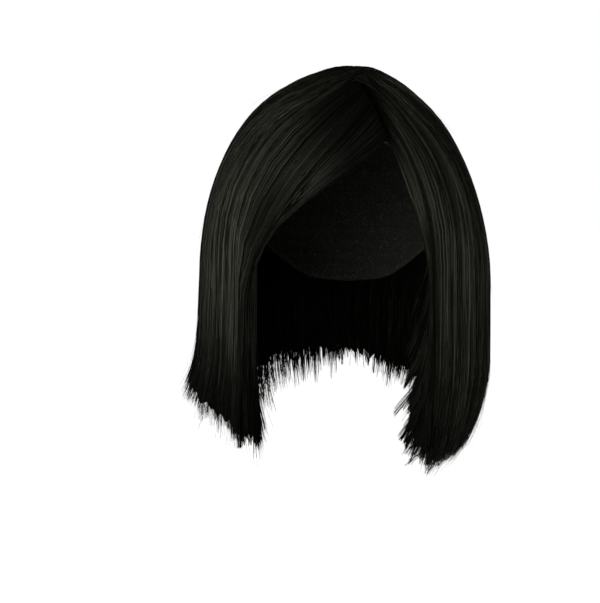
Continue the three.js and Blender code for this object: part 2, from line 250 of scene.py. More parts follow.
# What makes up a strand's tone, from 0 for black to about 1: its clump, its wisp, itself, being one of a
# share of pale ones, and how much it is broken along its length by a wave of some radians.
TONES = {
    "clump": 0.3, "wisp": 0.8, "strand": 0.15, "pale": 0.4, "pale_share": 0.03,
    "broken": 0.35, "radians": 22,
}

# How much of its tone hair loses to painted shade: at the roots and more in the parting's groove, from
# where at the tips, and beside the face, between which places among the guides and which shares of the
# length.
ROOT_SHADE = 0.4
GROOVE_SHADE = 0.42
TIP_PAINTED_SHADE_FROM = 0.62
FACE_SHADE = 0.64
FACE_SHADE_PLACES = (0.3, 2.1)
FACE_SHADE_LENGTHS = (0.22, 0.45)

# The nape layer: its azimuths, the levels of its roots and tips, the least share of the seat's reach that
# its inner surface has, the gaps in millimetres, and how much it thins out and from where.
NAPE = {
    "from": 104, "to": 256, "root": -124, "middle_tip": -206, "end_tip": -236, "inner_reach": 0.84,
    "inner_gap": 0.6, "outer_gap": 1.2, "thinned": 0.45, "thins_from": 0.6,
}

# The nape's dense hair and its strands, described as the panels' are. Painted shade darkens the strands,
# more towards the tips.
NAPE_BODY = {"columns": 61, "rows": 15, "margin": 0.005, "from": 0.02, "shorter": 24.0, "inset": 0.15}
NAPE_STRANDS = {
    "inner": 760, "loose": 350, "clumps": 60, "gather": 0.7, "gather_from": 0.4, "stray": 0.006,
    "margin": 0.001, "tips": 6, "clump_edge": 0.5, "raised": 1.2, "least_depth": 0.3, "curl": (9.0, 3),
    "shade": 0.25, "tip_shade": 0.5, "tip_shade_from": 0.6,
}

# The cap: the level of its rim by azimuth from the front, its columns and rows, the share of the way down
# to the rim where the rows begin, and its tone.
CAP_RIM_AZIMUTH = [0, 15, 40, 72, 98, 130, 160, 180]
CAP_RIM_LEVEL = [-38, -40, -58, -104, -90, -122, -144, -146]
CAP_COLUMNS = 120
CAP_ROWS = 40
CAP_TOP = 0.02
CAP_TONE = 0.5

# Colours, each with its place on a ramp: the hair and its gloss by tone, the net by thread, and the floor.
HAIR_COLOURS = [
    (0.0, (0.0006, 0.0006, 0.0005)),
    (0.4, (0.004, 0.004, 0.0032)),
    (0.7, (0.03, 0.031, 0.024)),
    (1.0, (0.09, 0.091, 0.068)),
]
GLOSS_COLOURS = [(0.0, (0.08, 0.08, 0.07)), (0.45, (0.97, 1.0, 0.84))]
NET_COLOURS = [(0.0, (0.022, 0.022, 0.02)), (1.0, (0.1, 0.096, 0.088))]
FLOOR_COLOURS = [(0.0, (0.86, 0.855, 0.84)), (1.0, (0.9, 0.895, 0.88))]
WHITE = (1.0, 1.0, 1.0, 1)

# The camera: angles of the view, its distance, and the pixel where a point of the axis falls.
PICTURE = (600, 603)
VIEW_AZIMUTH = 4.0
VIEW_ELEVATION = 3.0
VIEW_DISTANCE = 1.2
MM_PER_PIXEL = 0.72
AIM = Vector((0, 0, -0.1))
AIM_PIXEL = (344, 220.9)
SENSOR = 36.0

# The floor in metres: its level, under the hanging wig, and its reach.
FLOOR_LEVEL = -0.55
FLOOR_REACH = 30.0

# The light: the room's tint and how bright it is at the horizon, overhead and between which heights it
# brightens, how bright the floor is to the camera and to the hair, and the soft boxes: their spread and
# tint, the point that they face, and their places, sizes and power.
ROOM_TINT = (0.98, 1.0, 0.97, 1)
ROOM_LIGHT = (0.012, 0.05)
ROOM_BRIGHTENS = (0.3, 0.95)
FLOOR_GLOW = 1.0
FLOOR_BOUNCE = 0.02
BOX_SPREAD = 110
LAMP_TINT = (0.99, 1.0, 0.94)
LIT_POINT = Vector((0, 0, -0.12))
SOFT_BOXES = [
    ("left_box", (-1.6, -0.5, 0.0), (0.8, 1.0), 2.2),
    ("right_box", (1.6, -0.4, 0.0), (0.8, 1.0), 1.6),
    ("key_box", (-0.5, -1.8, 0.1), (1.0, 1.0), 3.7),
    ("front_box", (-0.6, -1.3, 1.1), (0.7, 0.7), 0.5),
    ("back_box", (0.3, 1.8, 0.1), (1.0, 1.0), 1.8),
]


def smooth_table(keys, values):
    """A smooth curve through a table's column that never overshoots a row, as a function of the key."""
    keys = np.asarray(keys, float)
    values = np.asarray(values, float)
    steps = np.diff(values) / np.diff(keys)
    before = np.concatenate([steps[:1], steps])
    after = np.concatenate([steps, steps[-1:]])
    same_way = before * after > 0
    slopes = np.where(same_way, 2 * before * after / np.where(same_way, before + after, 1), 0)

    def read(at):
        at = np.clip(at, keys[0], keys[-1])
        i = np.clip(np.searchsorted(keys, at, side="right") - 1, 0, len(keys) - 2)
        span = keys[i + 1] - keys[i]
        t = (at - keys[i]) / span
        rise = 3 * t**2 - 2 * t**3
        bend = span * (t * (1 - t) ** 2 * slopes[i] + t**2 * (t - 1) * slopes[i + 1])
        return values[i] + (values[i + 1] - values[i]) * rise + bend

    return read


HANG = {side: smooth_table(HANG_DEPTH, stand) for side, stand in HANG_STAND.items()}


def smoothstep(x, low, high):
    t = np.clip((x - low) / (high - low), 0, 1)
    return t * t * (3 - 2 * t)


def unit(vectors):
    return vectors / np.maximum(np.linalg.norm(vectors, axis=-1, keepdims=True), NO_LENGTH)


def towards(azimuth, front, right, left, back):
    """A value that is known towards each side, blended for a direction."""
    ahead = np.cos(azimuth)
    aside = np.sin(azimuth)
    return np.where(ahead > 0, front, back) * ahead**2 + np.where(aside > 0, left, right) * aside**2


def outer_points(azimuth, sweep, fall, tip):
    """Points of the hair's outer form, and how far its hanging part is moved out or in from them.

    sweep goes round the dome, and fall down the hanging hair.
    """
    power = 2 / towards(azimuth, **POWER)
    share = np.sin(sweep) ** power
    height = np.maximum(np.cos(sweep), 0) ** power
    half_width = np.where(np.sin(azimuth) > 0, REACH["left"], REACH["right"])
    half_depth = np.where(np.cos(azimuth) > 0, REACH["front"], REACH["back"])
    x = WHORL[0] + (half_width * np.sin(azimuth) - WHORL[0]) * share
    y = WHORL[1] + (-half_depth * np.cos(azimuth) - WHORL[1]) * share
    z = WHORL[2] - towards(azimuth, **DROP) * (1 - height)
    z = z + (tip - z) * fall
    stand = towards(azimuth, **{side: read(-z) for side, read in HANG.items()})
    shift = np.stack([stand * np.sin(azimuth), -stand * np.cos(azimuth), np.zeros_like(z)], axis=-1)
    return np.stack([x, y, z], axis=-1), shift


def seat_points(points):
    """Points of the seat over the cap, or of the hanging inner surface, under points of the outer form."""
    above = points.copy()
    above[..., 2] = np.maximum(0, points[..., 2] + HEAD[2])
    seat = unit(above / SEAT) * SEAT
    seat[..., 2] += np.minimum(points[..., 2], -HEAD[2])
    return seat


def soft_limit(share):
    """A share that levels off at 1 over a soft bend."""
    into = np.clip((share - 1 + TURN_SOFTNESS) / (2 * TURN_SOFTNESS), 0, 1)
    return np.minimum(share, 1 - TURN_SOFTNESS) + TURN_SOFTNESS * into * (2 - into)


# What the guides say at a place among them.
Guide = namedtuple("Guide", ("root", "root_azimuth", "hang_azimuth", "turn", "ease", "tip", "curl"))

# A panel's outer and inner points, its tips' level and curl, and how deep the parting is at its roots.
Wall = namedtuple("Wall", ("outer", "inner", "tip", "curl", "groove"))


def guide_places(panel, across):
    """Places among the guides for shares of a panel's width."""
    low, high = panel["span"]
    return low + (high - low) * across


def read_guides(rows, place):
    return Guide(*(smooth_table(range(len(rows)), column)(place) for column in zip(*rows)))


def strand_course(guide, place, along, tip, root_turn):
    """Points of the outer form down strands, from root to tip, and how far each is moved out or in."""
    root_azimuth = guide.root_azimuth + root_turn * (1 - smoothstep(guide.root, *GROOVE_OPENS))
    root_sweep = np.arcsin(guide.root)
    hang = np.radians(guide.hang_azimuth)
    drop = towards(hang, **DROP)
    dome_length = (math.pi / 2 - root_sweep) * (drop + towards(hang, **REACH)) / 2
    dome_share = dome_length / (dome_length + WHORL[2] - drop - guide.tip)
    delay = ROOT_DELAY * smoothstep(place, *DELAY_SETS_IN) * (1 - smoothstep(place, *DELAY_STOPS))
    turning = soft_limit(along**2 / (along + delay + NO_SHARE) / guide.turn)
    turned = 1 - (1 - turning) ** guide.ease
    azimuth = np.radians(root_azimuth + (guide.hang_azimuth - root_azimuth) * turned)
    sweep = root_sweep + (math.pi / 2 - root_sweep) * np.minimum(1, along / dome_share)
    fall = np.maximum(0, (along - dome_share) / (1 - dome_share))
    return outer_points(azimuth, sweep, fall, tip)


def feather(place, along):
    """The share of its thickness that a panel loses towards the tips and the face."""
    most, begins = TIP_FEATHER
    at_tip = most * smoothstep(along, begins, 1)
    most, span, begins, ends = FACE_FEATHER
    at_face = most * (1 - smoothstep(place, 0, span)) * smoothstep(along, begins, ends)
    return 1 - (1 - at_tip) * (1 - at_face)


def panel_surfaces(panel, across, along, tip_shift, root_turn=0.0):
    """A panel's wall at shares of its width and length, its tips shifted and its crossing roots turned."""
    place = guide_places(panel, across)
    guide = read_guides(panel["guides"], place)
    tip = guide.tip + tip_shift
    straight, shift = strand_course(guide, place, along, tip, root_turn)
    full = straight + shift
    bend = smoothstep(-straight[..., 2:], *INNER_BEND)
    seat = seat_points(full) * (1 - bend) + (seat_points(straight) + shift) * bend
    inner = seat + (full - seat) * feather(place, along)[..., None]

    faded = GROOVE_LOSS * smoothstep(guide.root, *GROOVE_FADES)
    groove = smoothstep(guide.root, *GROOVE_OPENS) * (1 - faded)
    press = CROWN_PRESS + (PARTING_PRESS - CROWN_PRESS) * groove
    climb = 1 - (1 - np.minimum(1, along / PARTING_RISE)) ** 2
    outer = inner + (full - inner) * (1 - press * (1 - climb))[..., None]

    begins, whole, fades, ends = CROWN_SPAN
    lower = CROWN_SINK * smoothstep(along, begins, whole) * (1 - smoothstep(along, fades, ends))
    outer = outer - unit(full - seat) * (lower * smoothstep(place, *CROWN_SETS_IN))[..., None]

    deepest, span, begins, ends = FACE_ROUND
    rounded = deepest * np.maximum(0, 1 - place / span) ** 2 * smoothstep(along, begins, ends)
    through = inner - outer
    thickness = np.linalg.norm(through, axis=-1)
    outer = outer + unit(through) * np.minimum(rounded, MOST_ROUNDED * thickness)[..., None]
    return Wall(outer, inner, tip, guide.curl, groove)


def curl_in(points, tip, reach):
    """Points near the tips drawn in, by reach at the very tip."""
    near_tip = np.clip(1 - (points[..., 2] - tip) / CURL_LENGTH, 0, 1)
    inward = unit(points * np.where(points[..., 1:2] < 0, CURL_AHEAD, CURL_BEHIND))
    return points + inward * (reach * near_tip**2)[..., None]


class MeshParts:
    """Vertices, faces and a tone for each vertex, gathered for one mesh."""

    def __init__(self):
        self.vertices = []
        self.quads = []
        self.triangles = []
        self.tones = []
        self.count = 0

    def add(self, vertices, quads, triangles, tones):
        """Adds closed shapes, with their faces turned to point out."""
        corners = vertices.reshape(-1, 3)
        quads = quads.reshape(-1, 4)
        triangles = triangles.reshape(-1, 3)
        halves = np.concatenate([quads[:, [0, 1, 2]], quads[:, [0, 2, 3]], triangles])
        a, b, c = (corners[halves[:, k]] for k in range(3))
        way = 1 if np.sum(a * np.cross(b, c)) > 0 else -1
        self.vertices.append(corners)
        self.quads.append(quads[:, ::way] + self.count)
        self.triangles.append(triangles[:, ::way] + self.count)
        self.tones.append(np.broadcast_to(tones, vertices.shape[:-1]).ravel())
        self.count += len(corners)

    def build(self, name):
        vertices = np.concatenate(self.vertices) * MM
        quads = np.concatenate(self.quads)
        triangles = np.concatenate(self.triangles)
        starts = np.concatenate([np.arange(len(quads)) * 4, quads.size + np.arange(len(triangles)) * 3])
        corners = np.concatenate([quads.ravel(), triangles.ravel()])
        mesh = bpy.data.meshes.new(name)
        mesh.vertices.add(len(vertices))
        mesh.vertices.foreach_set("co", vertices.astype(np.float32).ravel())
        mesh.loops.add(len(corners))
        mesh.loops.foreach_set("vertex_index", corners.astype(np.int32))
        mesh.polygons.add(len(starts))
        mesh.polygons.foreach_set("loop_start", starts.astype(np.int32))
        mesh.update(calc_edges=True)
        mesh.shade_smooth()
        tone = mesh.attributes.new("tone", "FLOAT", "POINT")
        tone.data.foreach_set("value", np.concatenate(self.tones).astype(np.float32))
        piece = bpy.data.objects.new(name, mesh)
        bpy.context.scene.collection.objects.link(piece)
        return piece


def faces(*corners):
    return np.stack(corners, axis=-1).reshape(-1, len(corners))


def add_strands(parts, paths, outward, half_width, tones):
    """Closed three-sided tubes along paths of shape (strands, points, 3), flattened against the hair."""
    strands, points = paths.shape[:2]
    tangent = unit(np.gradient(paths, axis=1))
    across = unit(np.cross(tangent, outward))
    upward = np.cross(across, tangent)
    rings = []
    for turn in np.radians(STRAND_EDGES):
        wide = across * (np.cos(turn) * half_width)[..., None]
        thick = upward * (np.sin(turn) * half_width * STRAND_FLATNESS)[..., None]
        rings.append(paths + wide + thick)
    vertices = np.stack(rings, axis=2)
    index = np.arange(strands * points * 3).reshape(strands, points, 3)
    near, far = index[:, :-1], index[:, 1:]
    quads = faces(near, np.roll(near, -1, 2), np.roll(far, -1, 2), far)
    triangles = np.concatenate([index[:, 0, ::-1], index[:, -1]])
    parts.add(vertices, quads, triangles, tones[..., None])


def add_wall(parts, outer, inner, tone):
    """A closed wall between two grids of points of shape (columns, rows, 3)."""
    columns, rows = outer.shape[:2]
    vertices = np.stack([outer, inner])
    top, under = np.arange(2 * columns * rows).reshape(2, columns, rows)
    quads = np.concatenate([
        faces(top[:-1, :-1], top[:-1, 1:], top[1:, 1:], top[1:, :-1]),
        faces(under[:-1, :-1], under[1:, :-1], under[1:, 1:], under[:-1, 1:]),
        faces(top[:-1, 0], top[1:, 0], under[1:, 0], under[:-1, 0]),
        faces(top[:-1, -1], under[:-1, -1], under[1:, -1], top[1:, -1]),
        faces(top[0, :-1], under[0, :-1], under[0, 1:], top[0, 1:]),
        faces(top[-1, :-1], top[-1, 1:], under[-1, 1:], under[-1, :-1]),
    ])
    parts.add(vertices, quads, np.empty((0, 3), int), tone)


# Strands across a panel: their places from 0 to 1, the clump of each, the clump's middle, and how far from
# the middle each lies, from -1 to 1.
Strands = namedtuple("Strands", ("place", "clump", "middle", "aside"))


def clumped(rng, count, clumps):
    """Strands spread over a panel's width in clumps."""
    place = (np.arange(count) + rng.uniform(0, 1, count)) / count
    inside = (np.arange(1, clumps) + rng.uniform(-CLUMP_UNEVEN, CLUMP_UNEVEN, clumps - 1)) / clumps
    edges = np.sort(np.concatenate([[0, 1], inside]))
    clump = np.clip(np.searchsorted(edges, place, side="right") - 1, 0, clumps - 1)
    middle = (edges[clump] + edges[clump + 1]) / 2
    half = (edges[clump + 1] - edges[clump]) / 2
    return Strands(place, clump, middle, (place - middle) / half)


def wisps(count):
    return np.arange(count) // WISP_STRANDS


def near_outside(rng, thickness):
    least, more, rarity = OUTSIDE_DEPTH
    return least + more * rng.uniform(0, 1, (len(thickness), 1)) ** rarity


def on_top(rng, thickness):
    return rng.uniform(*TOP_DEPTH, (len(thickness), 1))


def near_inside(rng, thickness):
    return thickness * rng.uniform(*INSIDE_DEPTH, (len(thickness), 1))


def anywhere(rng, thickness):
    return thickness * rng.uniform(*ANY_DEPTH, (len(thickness), 1))


def waves(rng, group, along, radians):
    """A slow wave along the strands that all strands of a group share, from -1 to 1."""
    groups = group.max() + 1
    phase = rng.uniform(0, 2 * math.pi, groups)[group][:, None]
    speed = radians * rng.uniform(*WAVE_SPEEDS, groups)[group][:, None]
    return np.sin(speed * along + phase)


def sway(rng, group, along, rule):
    """How far groups of strands sway sideways, in clump widths."""
    return rule["reach"] * waves(rng, group, along, rule["radians"]) * smoothstep(along, *rule["grows"])


def taper(along, under=0):
    """The share of a strand's width along its length, which is fine at the tip."""
    return 1 - TIP_LOSS[under] * smoothstep(along, TIP_LOSS_FROM[under], 1)


def along_strands(start, points, crowding):
    """Shares of the length for the points of strands, closer together near the root."""
    return start + (1 - start) * np.linspace(0, 1, points)[None, :] ** crowding


def end_shade(panel, along, root_shade):
    """How much of its tone hair keeps under painted shade near its roots and near its tips."""
    root = 1 - root_shade * (1 - smoothstep(along, 0, panel["root_shade_reach"]))
    return root * (1 - panel["tip_painted_shade"] * smoothstep(along, TIP_PAINTED_SHADE_FROM, 1))


def face_shade(panel, across, along):
    """Painted shade: how much tone hair keeps, little in the narrow strips beside the face, below the
    temples.
    """
    beside = 1 - smoothstep(guide_places(panel, across), *FACE_SHADE_PLACES)
    return 1 - FACE_SHADE * beside * smoothstep(along, *FACE_SHADE_LENGTHS)


def strand_tones(rng, clump, along, shade):
    """A tone for each point: its clump's, its wisp's and its strand's own, darkened by painted shade."""
    count = len(clump)
    wisp = wisps(count)
    tone = TONES["clump"] * rng.uniform(0, 1, clump.max() + 1)[clump]
    tone = tone + TONES["wisp"] * rng.uniform(0, 1, count)[wisp] ** 2
    tone = tone + TONES["strand"] * rng.uniform(0, 1, count)
    pale = np.where(rng.uniform(0, 1, count) < TONES["pale_share"], TONES["pale"], 0)
    broken = 1 + TONES["broken"] * waves(rng, wisp, along, TONES["radians"])
    return (tone + pale)[:, None] * broken * shade


def aside_in_lock(panel, strands):
    """How far from the middle of its lock each strand lies, from -1 to 1."""
    return 2 * ((strands.place * panel["locks"]) % 1) - 1


def tip_shifts(rng, panel, strands, under):
    """How much higher than the panel's tips strands end. Those under others end in tiers."""
    count = len(strands.place)
    of_clump = rng.normal(0, TIP_UNEVEN["clump"], panel["clumps"])
    of_clump = of_clump + under * panel["tiers"] * rng.uniform(0, 1, panel["clumps"])
    of_strand = np.abs(rng.normal(0, TIP_UNEVEN["strand"], count))
    short = rng.uniform(0, 1, count) < TIP_UNEVEN["short_share"]
    of_strand = of_strand * np.where(short, TIP_UNEVEN["short_times"], 1)
    at_edge = TIP_UNEVEN["lock"] * aside_in_lock(panel, strands) ** 4
    shift = of_clump[strands.clump] + of_strand + at_edge
    return np.maximum(TIP_UNEVEN["lowest"], shift)[:, None]


def strand_places(rng, panel, strands, along, under):
    """Shares of a panel's width along strands, which gather in their clumps, sway and stray."""
    place, clump, middle, _ = strands
    clumps = panel["clumps"]
    free = smoothstep(clumps * np.minimum(middle, 1 - middle), *HELD_CLUMPS)[:, None]
    gather = GATHER[under] * smoothstep(along, GATHER_FROM, 1)
    gather = gather + TIP_GATHER * smoothstep(along, TIP_GATHER_FROM, 1)
    aside = sway(rng, clump, along, CLUMP_SWAY)
    stray = rng.normal(0, STRAND_STRAY["reach"], (len(place), 1))
    aside = aside + stray * smoothstep(along, *STRAND_STRAY["grows"])
    aside = aside + sway(rng, wisps(len(place)), along, WISP_SWAY)
    across = place[:, None] + ((middle - place)[:, None] * gather + aside / clumps) * free
    return np.clip(across, PANEL_MARGIN, 1 - PANEL_MARGIN)


def strand_depths(rng, panel, strands, along, wall, depth):
    """How deep strands lie under the outer surface, with clumps and locks in relief and dipping roots."""
    thickness = np.linalg.norm(wall.inner - wall.outer, axis=-1)
    place, clump, _, aside = strands
    lift = rng.normal(0, RELIEF["clump"], panel["clumps"])[clump][:, None]
    lift = lift + RELIEF["wave"] * waves(rng, clump, along, RELIEF["radians"])
    ribs = RELIEF["clump_edge"] * aside**2 + RELIEF["lock_edge"] * aside_in_lock(panel, strands) ** 4
    relief = (ribs[:, None] + lift) * (RELIEF["at_root"] + (1 - RELIEF["at_root"]) * along)
    uneven = 0.5 + 0.5 * np.sin(place * ROOT_DIPS + rng.uniform(0, 2 * math.pi))
    dips = (uneven + ROOT_DIP * rng.uniform(0, 1, len(place)) ** 2)[:, None]
    dips = dips * (1 - smoothstep(along, 0, ROOT_DIP_LENGTH)) * wall.groove
    return np.clip(depth(rng, thickness) + relief + dips, -MOST_PROUD, MOST_DEEP * thickness)


def panel_strands(parts, panel, rng, count, along, depth, under):
    """One group of a panel's strands, at a depth under its outer surface. Under ones curl in more."""
    strands = clumped(rng, count, panel["clumps"])
    tip_shift = tip_shifts(rng, panel, strands, under)
    across = strand_places(rng, panel, strands, along, under)
    wall = panel_surfaces(panel, across, along, tip_shift, rng.normal(0, ROOTS_CROSS, (count, 1)))

    inward = unit(wall.inner - wall.outer)
    sunk = strand_depths(rng, panel, strands, along, wall, depth)
    uneven = 1 + rng.normal(0, CURL_UNEVEN["clump"], panel["clumps"])[strands.clump][:, None]
    curl = wall.curl + under * panel["under_curl"] * uneven
    curl = curl + rng.normal(0, CURL_UNEVEN["strand"], (count, 1))
    paths = curl_in(wall.outer + inward * sunk[..., None], wall.tip, curl)

    half_width = STRAND_HALF_WIDTH * rng.uniform(*STRAND_WIDTHS, (count, 1)) * taper(along, under)
    # Painted shade: darker roots, more so in the parting's groove, darker tips, and dark strips beside the
    # face.
    shade = end_shade(panel, along, ROOT_SHADE + GROOVE_SHADE * wall.groove)
    tones = strand_tones(rng, strands.clump, along, shade * face_shade(panel, across, along))
    add_strands(parts, paths, -inward, half_width, tones)


def fine_hair_places(rng, hairs, step):
    """Shares of a panel's width along fine hairs, which drift aside."""
    drift = rng.normal(0, hairs["drift"], (hairs["count"], 1)) * step ** hairs["drift_power"]
    return np.clip(rng.uniform(*FINE_HAIR_PLACES, (hairs["count"], 1)) + drift, 0, 1)


def fine_hair_lift(rng, hairs, step):
    """How far fine hairs lift off the surface along their length."""
    return rng.uniform(*hairs["lift"], (hairs["count"], 1)) * step ** hairs["lift_power"] - hairs["sunk"]


def add_fine_hairs(parts, hairs, wall, step, lift, curl):
    way = unit(wall.outer - wall.inner)
    paths = curl_in(wall.outer + way * lift[..., None], wall.tip, curl)
    half_width = hairs["half_width"] * (1 - hairs["lost"] * step) * np.ones_like(lift)
    add_strands(parts, paths, way, half_width, np.full_like(lift, hairs["tone"]))


def add_flyaways(parts, panel, rng):
    """A few fine hairs that leave the surface and end in the air."""
    step = np.linspace(0, 1, SHORT_POINTS)[None, :]
    start = rng.uniform(*FLYAWAYS["begin"], (FLYAWAYS["count"], 1))
    along = start + rng.uniform(*FLYAWAYS["length"], (FLYAWAYS["count"], 1)) * step
    wall = panel_surfaces(panel, fine_hair_places(rng, FLYAWAYS, step), along, 0)
    add_fine_hairs(parts, FLYAWAYS, wall, step, fine_hair_lift(rng, FLYAWAYS, step), wall.curl)


def add_hem_wisps(parts, panel, rng):
    """Fine hairs that part from the surface near the hem, some of them past it."""
    step = np.linspace(0, 1, SHORT_POINTS)[None, :]
    start = rng.uniform(*HEM_WISPS["begin"], (HEM_WISPS["count"], 1))
    along = start + (1 - start) * step
    across = fine_hair_places(rng, HEM_WISPS, step)
    wall = panel_surfaces(panel, across, along, rng.uniform(*HEM_WISPS["tips"], (HEM_WISPS["count"], 1)))
    lift = fine_hair_lift(rng, HEM_WISPS, step)
    curl = wall.curl + rng.normal(0, HEM_WISPS["curl"], (HEM_WISPS["count"], 1))
    add_fine_hairs(parts, HEM_WISPS, wall, step, lift, curl)


def add_face_edge(parts, panel, rng):
    """Strands through the whole thickness of the edge beside the face."""
    count = FACE_EDGE["count"]
    along = along_strands(0, FRONT_POINTS, FRONT_CROWDING)
    phase = rng.uniform(0, 2 * math.pi, (count, 1))
    swaying = FACE_EDGE["sway"] * np.sin(FACE_EDGE["radians"] * along + phase)
    across = np.clip(rng.uniform(*FACE_EDGE["places"], (count, 1)) + swaying, 0, 1)
    wall = panel_surfaces(panel, across, along, rng.normal(*FACE_EDGE["tips"], (count, 1)))
    paths = wall.outer + (wall.inner - wall.outer) * rng.uniform(*FACE_EDGE["depths"], (count, 1, 1))
    paths = curl_in(paths, wall.tip, wall.curl * rng.normal(*FACE_EDGE["curl"], (count, 1)))
    half_width = STRAND_HALF_WIDTH * rng.uniform(*FACE_EDGE["widths"], (count, 1)) * taper(along)
    clump = rng.integers(0, panel["clumps"], count)
    # Painted shade on the roots, the tips and the strips beside the face.
    shade = end_shade(panel, along, FACE_EDGE["root_shade"]) * face_shade(panel, across, along)
    tones = strand_tones(rng, clump, along, shade)
    add_strands(parts, paths, unit(wall.outer - wall.inner), half_width, tones)


def add_panel_body(parts, panel, rng, nearest):
    """The dense hair under a panel's strands: a wall that thins out and ends short of their tips."""
    across = np.linspace(nearest, 1 - BODY["margin"], BODY["columns"])[:, None]
    along = along_strands(0, BODY["rows"], CROWN_CROWDING)
    shorter = rng.uniform(*BODY["shorter"], (BODY["columns"], 1))
    wall = panel_surfaces(panel, across, along, shorter)
    through = wall.inner - wall.outer
    thickness = np.linalg.norm(through, axis=-1, keepdims=True)
    thinned = (BODY["thinned"] * smoothstep(along, BODY["thins_from"], 1))[..., None]

    def inset(most, share):
        return unit(through) * np.minimum(most, share * thickness)

    outside = curl_in(wall.outer + inset(*BODY["under"]), wall.tip - shorter, wall.curl)
    inside = wall.inner - through * thinned - inset(*BODY["over"])
    inside = curl_in(inside, wall.tip - shorter, wall.curl)
    add_wall(parts, outside, inside, BODY_SHADED_TONE)


def hair_panel(name, seed):
    """One panel of hair: its dense body, the strands on and in it, and fine hairs that leave it."""
    panel = PANELS[name]
    rng = np.random.default_rng(seed)
    parts = MeshParts()
    beside_face = panel["span"][0] == 0
    add_panel_body(parts, panel, rng, BODY["face_margin"] if beside_face else BODY["margin"])
    front = along_strands(0, FRONT_POINTS, FRONT_CROWDING)
    crown = along_strands(0, CROWN_POINTS, CROWN_CROWDING)
    hanging = along_strands(HANGING_FROM, SHORT_POINTS, 1)
    panel_strands(parts, panel, rng, panel["outer"], front if beside_face else crown, near_outside, 0)
    panel_strands(parts, panel, rng, panel["inner"], hanging, near_inside, 1)
    panel_strands(parts, panel, rng, panel["loose"], hanging, anywhere, 1)
    add_flyaways(parts, panel, rng)
    add_hem_wisps(parts, panel, rng)
    if beside_face:
        add_face_edge(parts, panel, rng)
    else:
        smooth = along_strands(0, TOP_POINTS, CROWN_CROWDING)
        panel_strands(parts, panel, rng, TOP_STRANDS, smooth, on_top, 0)
    if name == "left_front":
        panel_strands(parts, panel | TUFTS, rng, TUFTS["strands"], hanging, anywhere, 1)
    return parts.build(name + "_hair")


def nape_surfaces(across, along, tip_shift):
    """The outer and inner points of the nape layer at shares of its width and length."""
    degrees = NAPE["from"] + (NAPE["to"] - NAPE["from"]) * across
    azimuth = np.radians(degrees)
    middle = (NAPE["from"] + NAPE["to"]) / 2
    aside = np.abs(degrees - middle) / (NAPE["to"] - middle)
    tip = NAPE["middle_tip"] + (NAPE["end_tip"] - NAPE["middle_tip"]) * aside + tip_shift
    level = NAPE["root"] + (tip - NAPE["root"]) * along
    below = (level + HEAD[2]) / SEAT[2]
    round_reach = np.maximum(NAPE["inner_reach"], np.sqrt(np.maximum(0, 1 - below**2)))
    thinned = NAPE["thinned"] * smoothstep(along, NAPE["thins_from"], 1)
    inner_reach = round_reach + (1 - round_reach) * thinned - NAPE["inner_gap"] / SEAT[1]
    outer_reach = np.full_like(inner_reach, 1 - NAPE["outer_gap"] / SEAT[1])
    x = SEAT[0] * np.sin(azimuth)
    y = -SEAT[1] * np.cos(azimuth)
    return (np.stack([x * reach, y * reach, level], axis=-1) for reach in (outer_reach, inner_reach))


def nape_strands(parts, rng, count, along, depth):
    """One group of the nape's strands, at a depth under its outer surface."""
    rule = NAPE_STRANDS
    place, clump, middle, aside = clumped(rng, count, rule["clumps"])
    gather = rule["gather"] * smoothstep(along, rule["gather_from"], 1)
    across = place[:, None] + (middle - place)[:, None] * gather
    across = across + rng.normal(0, rule["stray"], (count, 1)) * along
    across = np.clip(across, rule["margin"], 1 - rule["margin"])
    tip_shift = rng.normal(0, rule["tips"], rule["clumps"])[clump]
    tip_shift = tip_shift + np.abs(rng.normal(0, rule["tips"], count))
    outer, inner = nape_surfaces(across, along, tip_shift[:, None])
    inward = unit(inner - outer)
    thickness = np.linalg.norm(inner - outer, axis=-1)
    sunk = depth(rng, thickness)
    sunk = sunk - (rule["clump_edge"] * aside**2 + rng.uniform(0, rule["raised"], count))[:, None]
    paths = outer + inward * np.clip(sunk, rule["least_depth"], thickness)[..., None]
    paths = curl_in(paths, paths[:, -1:, 2], rng.normal(*rule["curl"], (count, 1)))
    half_width = STRAND_HALF_WIDTH * rng.uniform(*STRAND_WIDTHS, (count, 1)) * taper(along)
    # Painted shade: the nape's strands keep a share of their tone, less towards the tips.
    shade = rule["shade"] * (1 - rule["tip_shade"] * smoothstep(along, rule["tip_shade_from"], 1))
    add_strands(parts, paths, inward, half_width, strand_tones(rng, clump, along, shade))


def nape_hair(seed):
    """The nape layer: a dense body, and strands on its inside and through it."""
    rng = np.random.default_rng(seed)
    parts = MeshParts()
    across = np.linspace(NAPE_BODY["margin"], 1 - NAPE_BODY["margin"], NAPE_BODY["columns"])[:, None]
    along = np.linspace(NAPE_BODY["from"], 1, NAPE_BODY["rows"])[None, :]
    outer, inner = nape_surfaces(across, along, NAPE_BODY["shorter"])
    inset = NAPE_BODY["inset"] * (inner - outer)
    add_wall(parts, outer + inset, inner - inset, BODY_SHADED_TONE)
    along = along_strands(0, SHORT_POINTS, 1)
    nape_strands(parts, rng, NAPE_STRANDS["inner"], along, near_inside)
    nape_strands(parts, rng, NAPE_STRANDS["loose"], along, anywhere)
    return parts.build("nape_hair")


